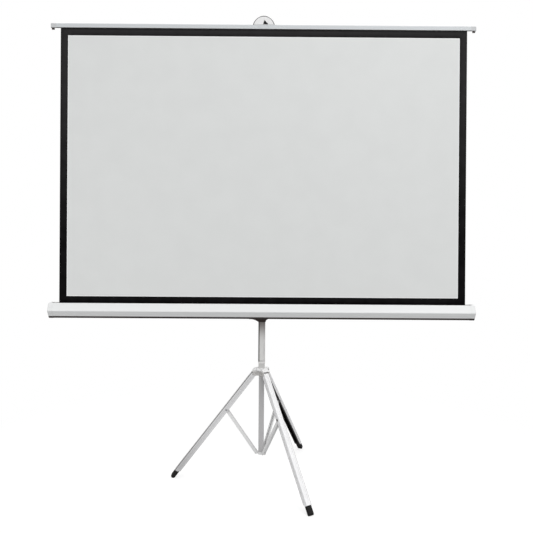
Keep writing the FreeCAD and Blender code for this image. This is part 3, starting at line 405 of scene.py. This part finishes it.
mast_grey = hard_finish("grey_mast_paint", (0.58, 0.575, 0.58), 0.45, worn=bare_steel, worn_share=0.3,
                        pulled=(1, 1, 0.12), rounding=0.003, gloss=0.2)
carriage_grey = hard_finish("silver_mast_paint", (0.75, 0.745, 0.735), 0.4, worn=bare_steel, worn_share=0.3,
                            pulled=(1, 1, 0.12), rounding=0.012, gloss=0.15, paint_over=painted_shadow_and_corner_shade)
rim_white = hard_finish("pale_rim_plastic", (0.80, 0.79, 0.78), 0.5, tone=0.02)
print("rubbed brown from", shadow_low, "to", shadow_high, "m")

# %% [markdown]
# The casing is folded sheet with a silver-white coat, and the slat is drawn aluminium. Both are made by pulling metal
# through a tool, which leaves fine lines along the length. Stretching the noise along X draws them. The casing is
# brown-black along its bottom edge, the shade in the slot that the cloth comes out of is painted brown-black, and the
# slat's lower edge is of the same colour.
# %% Casing, slat and bright metal
brown_black = (0.022, 0.012, 0.010)
casing_low, casing_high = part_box("casing_shell")
bottom_dark_edge = casing_low.z + 0.0094
dark_edge_half_fade = 0.0008
# Painted shade: brown-black along the slot on the casing's top.
slot_shade_front, slot_shade_back = -0.0945, -0.0800
slot_shade_reach, slot_shade_depth = 0.958, 0.0012
slat_dark_below, slat_cap_dark_below = 2.0836, 2.0825


def casing_dark_edge_and_slot_shade(finish, under):
    x, y, z = (finish.along(axis) for axis in "XYZ")
    on_top = (z > casing_high.z - slot_shade_depth) * (x.maths("ABSOLUTE") < slot_shade_reach)
    at_slot = on_top * (y > slot_shade_front) * (y < slot_shade_back)
    at_bottom = 1 - finish.ramp(z, bottom_dark_edge - dark_edge_half_fade, bottom_dark_edge + dark_edge_half_fade)
    return finish.mix(at_slot.maths("MAXIMUM", at_bottom), under, brown_black)


casing_silver = hard_finish("casing_silver", (0.80, 0.81, 0.81), 0.36, pulled=(0.04, 1, 1), grain_size=0.0012,
                            tone=0.03, paint_over=casing_dark_edge_and_slot_shade)
cap_silver = hard_finish("casing_cap_silver", (0.79, 0.80, 0.80), 0.45, grain_size=0.0008, grain_depth=0.00006,
                         tone=0.02, paint_over=casing_dark_edge_and_slot_shade)
slat_silver = hard_finish("slat_aluminium", (0.625, 0.65, 0.665), 0.6, metallic=0.1, pulled=(0.03, 1, 1),
                          grain_size=0.001, paint_over=below(slat_dark_below, brown_black))
slat_cap_silver = hard_finish("slat_cap_plastic", (0.58, 0.59, 0.60), 0.6, tone=0.02,
                              paint_over=below(slat_cap_dark_below, brown_black))
pole_steel = hard_finish("pole_steel", (0.62, 0.62, 0.64), 0.3, metallic=0.8, pulled=(1, 1, 0.03),
                         grain_size=0.0008)
plated_steel = hard_finish("plated_steel", (0.60, 0.60, 0.62), 0.25, metallic=0.9, grain_size=0.001)
# The front brace's rivets get a darker copy of the rivet steel, which paints the shade they stand in.
rivet_painted_shade = hard_finish("rivet_painted_shade", (0.10, 0.095, 0.09), 0.4, metallic=0.6, grain_size=0.001)
roller_steel = hard_finish("roller_steel", (0.50, 0.50, 0.50), 0.4, metallic=0.7, pulled=(0.1, 1, 1))
spring_wire = hard_finish("spring_wire", (0.25, 0.24, 0.23), 0.35, metallic=0.8)
print("casing trim up to", round(bottom_dark_edge, 4), "m")

# %% [markdown]
# Rubber, moulded plastic and the brown-black brackets are the dark accents. Moulded parts take the texture of their
# tool, a fine even grain, and rubber is the dullest of them all.
# %% Dark and moulded parts
rubber = hard_finish("foot_rubber", (0.016, 0.015, 0.015), 0.85, grain_size=0.0009, grain_depth=0.00008,
                     tone=0.25, gloss=0.2)
dark_mould = hard_finish("dark_moulding", (0.022, 0.020, 0.019), 0.55, grain_size=0.0007, grain_depth=0.00005,
                         tone=0.1, gloss=0.3)
dark_bracket = hard_finish("brown_black_bracket", (0.040, 0.027, 0.023), 0.45, worn=bare_steel, worn_share=0.4,
                           tone=0.1, gloss=0.3)
pale_mould = hard_finish("pale_moulding", (0.82, 0.81, 0.80), 0.45, grain_size=0.0008, tone=0.02)
print("materials so far:", len(bpy.data.materials))

# %% [markdown]
# The hanger tab is a shallow white dome, nearly half a disc. The shade on its turned edge is painted as a dark
# outline, and the shade in the hollow behind its triangular hole is painted black on the catch, with a bright line
# where the hook rubs on it. The width and the rise of an arc give its radius and its centre, the distance from that
# centre gives the outline, and all that lies behind the dome's plate is the catch.
# %% The hanger tab's finish
tab_low, tab_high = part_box("hanger_tab")
slat_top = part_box("top_slat")[1].z
tab_half_width, tab_rise = tab_high.x, tab_high.z - slat_top
tab_radius = (tab_half_width ** 2 + tab_rise ** 2) / (2 * tab_rise)
tab_centre_z = tab_high.z - tab_radius
# Painted shade: the dark outline on the dome's edge and the black catch.
outline_width, outline_shade_grey = 0.0042, (0.10, 0.095, 0.10)
rub_x, rub_half, rub_top = 0.0052, 0.0019, slat_top + 0.0125
rubbed_bright, catch_shade_black = (0.93, 0.92, 0.90), (0.006, 0.005, 0.005)
plate_back, catch_foot = tab_low.y + 0.0023, slat_top + 0.001


def tab_edge_and_catch_shade(finish, under):
    x, y, z = (finish.along(axis) for axis in "XYZ")
    up = z - tab_centre_z
    from_centre = (x * x + up * up).maths("SQRT")
    edge_share = finish.ramp(from_centre, tab_radius - outline_width, tab_radius - outline_width + fade)
    outlined = finish.mix(edge_share, under, outline_shade_grey)
    rubbed_and_painted_light = ((x - rub_x).maths("ABSOLUTE") < rub_half) * (z < rub_top)
    catch = (y > plate_back) * (z > catch_foot)
    return finish.mix(catch, outlined, finish.mix(rubbed_and_painted_light, catch_shade_black, rubbed_bright))


tab_white = hard_finish("tab_white", (0.84, 0.84, 0.84), 0.42, grain_size=0.0008, tone=0.02, rounding=0.0012,
                        paint_over=tab_edge_and_catch_shade)
print("tab", round(tab_half_width, 4), "half wide,", round(tab_rise, 4), "high, radius", round(tab_radius, 4))

# %% [markdown]
# Each finish goes onto the CAD nodes it belongs to. A table from finish to names is easier to check than
# a line per piece, and a node that is missing from it would show at once in the count.
# %% Hand out the finishes
sides = ("left", "front", "rear")
finish_of = {
    **{leg_whites_painted_light[side]: ["leg_" + side] for side in sides},
    white_paint: ["tripod_hub", "leg_pivot_pins"],
    brace_white: ["brace_bracket", "brace_pivot_pins"] + ["brace_" + side for side in sides],
    mast_grey: ["post_tube"],
    carriage_grey: ["carriage_tube"],
    rim_white: ["carriage_rim"],
    casing_silver: ["casing_shell"],
    cap_silver: ["casing_cap_left", "casing_cap_right"],
    slat_silver: ["top_slat", "tab_rivets"],
    slat_cap_silver: ["slat_cap_left", "slat_cap_right"],
    pole_steel: ["lower_pole_tube", "upper_pole_tube"],
    plated_steel: ["tilt_lever_pin", "pivot_stud", "cap_screws", "saddle_screws", "spring_shaft"]
                  + ["brace_rivets_left", "brace_rivets_rear"] + ["brace_barrel_" + side for side in sides],
    rivet_painted_shade: ["brace_rivets_front"],
    roller_steel: ["roller_tube", "spring_anchor"],
    spring_wire: ["motor_spring"],
    rubber: ["foot_" + side for side in sides],
    dark_mould: ["height_knob", "lower_pole_knob", "upper_pole_knob", "lower_pole_clamp", "upper_pole_clamp",
                 "pole_hook", "post_top_guide", "lower_pole_plug", "upper_pole_plug",
                 "roller_plug_left", "roller_plug_right"],
    dark_bracket: ["case_bracket", "case_saddle", "tilt_lever", "height_knob_boss"],
    tab_white: ["hanger_tab"],
    pale_mould: ["hook_peg"],
}
finished = 0
for finish, names in finish_of.items():
    for name in names:
        for holder in cad_nodes[name].material_slots:
            holder.material = finish
        finished += 1
soft_nodes = ("screen_cloth", "black_border", "wound_cloth")
print("finished", finished, "of", len(cad_nodes), "nodes; replaced below:", len(soft_nodes))

# %% [markdown]
# The cloth is one sheet of coated fabric, white in front and black behind, pulled flat between the roller and the
# slat. A real one is never quite a plane: it bows by a fraction of a millimetre between its two clamped edges. A
# function says how far, and the border is printed on the same surface, so it follows the same function.
# %% How the cloth bows
cloth_low, cloth_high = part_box("screen_cloth")
cloth_half_thickness = (cloth_high.y - cloth_low.y) / 2
bow_depth = 0.00055
slot_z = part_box("casing_shell")[1].z
slat_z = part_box("top_slat")[0].z


def bow(x, z):
    """How far the cloth stands forward of its plane. It is held flat at the slot and at the slat."""
    free = min(1.0, max(0.0, (z - slot_z) / (slat_z - slot_z)))
    ripple = 0.6 * math.sin(5.1 * x + 0.7) + 0.4 * math.sin(8.7 * x - 1.9 + 1.3 * free)
    return -bow_depth * math.sin(math.pi * free) * ripple


# %% [markdown]
# A sheet could be a plane with a Solidify modifier. Here the two faces need different colours and the border needs
# a window in its middle, so a small function lays a grid of front points and back points, keeps the cells that
# are wanted, and closes every open side with a thin wall.
# %% A function that lays a thin sheet
def thin_sheet(name, xs, zs, front_y, back_y, keep=lambda i, j: True):
    points = [(x, y + bow(x, z), z) for y in (front_y, back_y) for z in zs for x in xs]
    row, layer = len(xs), len(xs) * len(zs)
    kept = {(i, j) for i in range(len(xs) - 1) for j in range(len(zs) - 1) if keep(i, j)}
    faces, on_back = [], []
    for i, j in sorted(kept):
        a, b, c, d = j * row + i, j * row + i + 1, (j + 1) * row + i + 1, (j + 1) * row + i
        faces.append((a, b, c, d))
        faces.append((d + layer, c + layer, b + layer, a + layer))
        on_back += [False, True]
        for (di, dj), (p, q) in {(0, -1): (b, a), (1, 0): (c, b), (0, 1): (d, c), (-1, 0): (a, d)}.items():
            if (i + di, j + dj) not in kept:
                faces.append((p, q, q + layer, p + layer))
                on_back.append(True)
    used = sorted({v for face in faces for v in face})
    number = {old: new for new, old in enumerate(used)}
    mesh = bpy.data.meshes.new(name)
    mesh.from_pydata([points[v] for v in used], [], [tuple(number[v] for v in face) for face in faces])
    mesh.validate()
    for face, back in zip(mesh.polygons, on_back):
        face.material_index = int(back)
        face.use_smooth = not back or len(kept) > 1
    piece = bpy.data.objects.new(name, mesh)
    bpy.context.scene.collection.objects.link(piece)
    print(name, "faces", len(faces), "points", len(used), "of", len(points))
    return piece


def steps(low, high, count):
    return [low + (high - low) * i / count for i in range(count + 1)]


# %% [markdown]
# The cloth runs from the roller's height inside the casing up into the groove of the slat. Cells of about two
# centimetres carry the bow with no visible corners.
# %% The cloth
border_low, border_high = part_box("black_border")
cloth_xs = steps(cloth_low.x, cloth_high.x, 92)
cloth_zs = steps(cloth_low.z, slot_z, 2) + steps(slot_z, slat_z, 62)[1:] + steps(slat_z, cloth_high.z, 1)[1:]
cloth = thin_sheet("picture_cloth", cloth_xs, cloth_zs, cloth_low.y, cloth_high.y)

# %% [markdown]
# The border is a matt black print, a frame that is open in its middle. It lies a tenth of a millimetre proud of the
# white coating, so that the two never fight for the same depth. Only cells outside the window are kept.
# %% The black border
border_width = 0.0335
border_front = cloth_low.y - 0.00015
border_back = cloth_low.y - 0.00002
window_x = (border_low.x + border_width, border_high.x - border_width)
window_z = (border_low.z + border_width, border_high.z - border_width)
border_xs = [border_low.x] + steps(*window_x, 88) + [border_high.x]
border_zs = [border_low.z] + steps(*window_z, 58) + [border_high.z]


def outside_window(i, j):
    return i in (0, len(border_xs) - 2) or j in (0, len(border_zs) - 2)


border = thin_sheet("cloth_border", border_xs, border_zs, border_front, border_back, outside_window)

# %% [markdown]
# Inside the casing a few turns stay on the roller, so that the pull of the pole never tears the cloth off. They are
# one strip wound in a spiral. The CAD gives the roll's inner and outer radius, and the cloth's thickness is the
# spiral's pitch, so the number of turns and the strip's length follow.
# %% Measure the turns left on the roller
roll_low, roll_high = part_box("wound_cloth")
tube_radius = (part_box("roller_tube")[1].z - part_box("roller_tube")[0].z) / 2
roll_radius = (roll_high.z - roll_low.z) / 2
roll_y, roll_z = (roll_low.y + roll_high.y) / 2, (roll_low.z + roll_high.z) / 2
turn_pitch = 2 * cloth_half_thickness
strip_thickness = 0.9 * turn_pitch
turns = (roll_radius - tube_radius - strip_thickness) / turn_pitch
parts_per_turn = 56
spiral_steps = int(turns * parts_per_turn)
gap_to_tube = 0.00002


def middle_radius(step):
    return tube_radius + turn_pitch * (step + 0.5) / parts_per_turn + strip_thickness / 2


wound_length = sum(2 * math.pi * middle_radius(step) / parts_per_turn for step in range(spiral_steps))
print("turns", round(turns, 2), "wound length", round(wound_length, 3))

# %% [markdown]
# A Screw modifier could wind a line into this spiral, but the strip needs its thickness and closed ends. So each step
# of the spiral is the strip's four corners, and four faces join one step to the next. The strip is a little thinner
# than the pitch, so the roll's ends show the turns as fine lines.
# %% Wind the turns
strip_corners = ((roll_low.x, True), (roll_high.x, True), (roll_high.x, False), (roll_low.x, False))


def spiral_point(x, step, outer):
    angle = 2 * math.pi * step / parts_per_turn
    radius = tube_radius + gap_to_tube + turn_pitch * step / parts_per_turn + (strip_thickness if outer else 0)
    return (x, roll_y - radius * math.cos(angle), roll_z - radius * math.sin(angle))


roll_points = [spiral_point(x, step, outer) for step in range(spiral_steps + 1) for x, outer in strip_corners]
roll_faces = [(4 * s + k, 4 * s + (k + 1) % 4, 4 * s + 4 + (k + 1) % 4, 4 * s + 4 + k)
              for s in range(spiral_steps) for k in range(4)]
roll_faces += [(3, 2, 1, 0), tuple(4 * spiral_steps + k for k in range(4))]
roll_mesh = bpy.data.meshes.new("wound_turns")
roll_mesh.from_pydata(roll_points, [], roll_faces)
for face in roll_mesh.polygons:
    face.use_smooth = True
wound_turns = bpy.data.objects.new("wound_turns", roll_mesh)
bpy.context.scene.collection.objects.link(wound_turns)
print("wound_turns faces", len(roll_faces), "points", len(roll_points))

# %% [markdown]
# Screen fabric is a fine weave under a matt coating. Seen from across a room it is plain, and close up the threads
# show as a faint lattice. Two sine waves, one across and one up, are multiplied into that lattice, which drives a
# Bump node. Slow noise gives the coating its slight unevenness. Along the inner edge of the black print, where it was
# masked, the coating has kept a fine whiter line. A painted sheen of the light from above greys the print's top.
# %% One recipe for fabric
thread_spacing = 0.0008
radians_per_metre = 2 * math.pi / thread_spacing
fuzz_per_metre = 420.0
relief_strength = 0.6
rim_width = 0.0032
sheen_from, sheen_full = border_low.z + 0.2, border_high.z - 0.1


def beyond_rim(finish, axis, window):
    """1 from the rim line outwards and 0 inside it, along one axis of the window."""
    low, high = window
    return (finish.along(axis) - (low + high) / 2).maths("ABSOLUTE") > (high - low) / 2 - rim_width


def fabric_finish(name, colour, tone, roughness, weave_depth, sheen=0.0, mottle=9.0, gloss=0.3, top_sheen=None, rim=None):
    finish = Finish(bpy.data.materials.new(name))
    across = (finish.along("X") * radians_per_metre).maths("SINE")
    upward = (finish.along("Z") * radians_per_metre).maths("SINE")
    lattice = across * upward * 0.5 + 0.5
    patches = finish.noise(mottle, 5.0)
    fine = finish.noise(fuzz_per_metre, 2.0)
    uneven = finish.ramp(patches * 0.8 + fine * 0.2, 0.3, 0.7)
    colour_wire = finish.mix(uneven, toned(colour, -tone), toned(colour, tone))
    # Painted sheen: the print is greyer towards its top.
    if top_sheen:
        rubbed_and_painted_light = finish.ramp(finish.along("Z"), sheen_from, sheen_full) * (patches * 0.8 + 0.6)
        colour_wire = finish.mix(rubbed_and_painted_light, colour_wire, top_sheen)
    if rim:
        at_rim = beyond_rim(finish, "X", window_x).maths("MAXIMUM", beyond_rim(finish, "Z", window_z))
        colour_wire = finish.mix(at_rim, colour_wire, rim)
    relief = finish.add("ShaderNodeBump", sockets={
        "Strength": relief_strength, "Distance": weave_depth, "Height": lattice + fine * 0.5})
    shader = finish.add("ShaderNodeBsdfPrincipled", sockets={
        "Base Color": colour_wire, "Roughness": roughness + patches * 0.1, "Sheen Weight": sheen,
        "Specular IOR Level": gloss, "Normal": relief})
    finish.add("ShaderNodeOutputMaterial", sockets={"Surface": shader})
    return finish.owner


print("threads every", thread_spacing, "m")

# %% [markdown]
# Three fabrics come from that recipe: the matt white front, the black backing that stops light from behind, and the
# black print. A sheet has two material slots, the front's first, and thin_sheet has already said which face uses
# which. The turns on the roller show only the backing.
# %% White front, black back, black print
white_coating = fabric_finish("matt_white_coating", (0.755, 0.768, 0.762), 0.012, 0.85, 0.00003,
                               rim=(0.93, 0.94, 0.94))
black_backing = fabric_finish("black_backing", (0.012, 0.012, 0.013), 0.15, 0.85, 0.00006, sheen=0.1)
black_print = fabric_finish("black_border_print", (0.0040, 0.0036, 0.0040), 0.6, 0.7, 0.00004, mottle=26.0,
                            gloss=0.06, top_sheen=(0.026, 0.025, 0.026))
for front, back, sheet in ((white_coating, black_backing, cloth), (black_print, black_print, border)):
    sheet.data.materials.append(front)
    sheet.data.materials.append(back)
roll_mesh.materials.append(black_backing)
print("materials in all:", len(bpy.data.materials))

# %% [markdown]
# The cloth hangs on the casing and is used up as the pole comes down. Here the cloth and its border ride on the
# casing, the turns ride on the roller, and the CAD nodes they replace are hidden.
# %% Let the fabric ride
pieces_on_case = (cloth, border)
for piece in pieces_on_case:
    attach(piece, "case")
    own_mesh(piece)
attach(wound_turns, "roller")
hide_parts("screen_cloth")
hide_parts("black_border")
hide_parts("wound_cloth")
